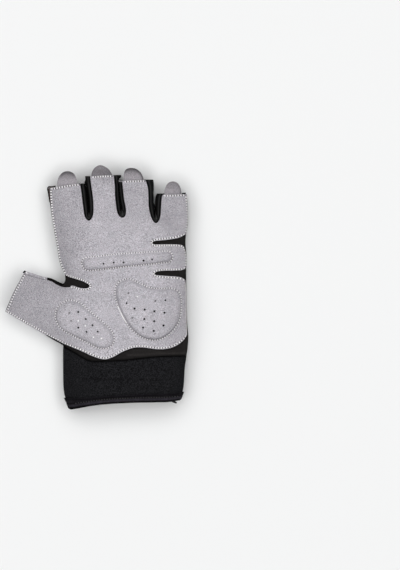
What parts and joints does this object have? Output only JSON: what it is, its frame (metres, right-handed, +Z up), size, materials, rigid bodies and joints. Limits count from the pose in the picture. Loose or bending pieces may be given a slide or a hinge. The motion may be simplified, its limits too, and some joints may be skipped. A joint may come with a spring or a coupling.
{
  "type": "half-finger sport glove",
  "caption": "Left half-finger glove lying palm up, with padded grey suede palm, black stretch back, short wrist cuff and a pull tab at each finger.",
  "frame": {"origin": "on the surface that the glove lies on, below the middle of its outline, in line with the middle finger's side of the palm", "axes": "+Z up out of the palm, +Y towards the fingertips, -X towards the thumb"},
  "size_m": [0.141, 0.1883, 0.0194],
  "materials": {
    "palm_suede": "matt napped synthetic suede, light grey",
    "thumb_suede": "matt napped synthetic suede, grey",
    "tab_suede": "matt napped synthetic suede, darker grey",
    "stretch": "fine stretch knit, black",
    "fourchette": "glossy stretch fabric, black",
    "cuff_neoprene": "fabric-faced neoprene, matt black",
    "binding_tape": "woven binding tape, matt black",
    "pad_foam": "soft closed-cell foam, hidden under the palm"
  },
  "bodies": {
    "root": {"palm_panel": "palm_suede", "palm_base": "stretch", "bar_pad": "pad_foam", "heel_pad": "pad_foam", "thumb_pad": "pad_foam", "fourchette_index_middle": "fourchette", "fourchette_middle_ring": "fourchette", "fourchette_ring_little": "fourchette", "back_panel": "stretch", "thumb_back": "thumb_suede", "cuff": "cuff_neoprene", "cuff_binding": "binding_tape", "tab_index": "tab_suede", "tab_middle": "tab_suede", "tab_ring": "tab_suede", "tab_little": "tab_suede"}
  },
  "joints": []
}
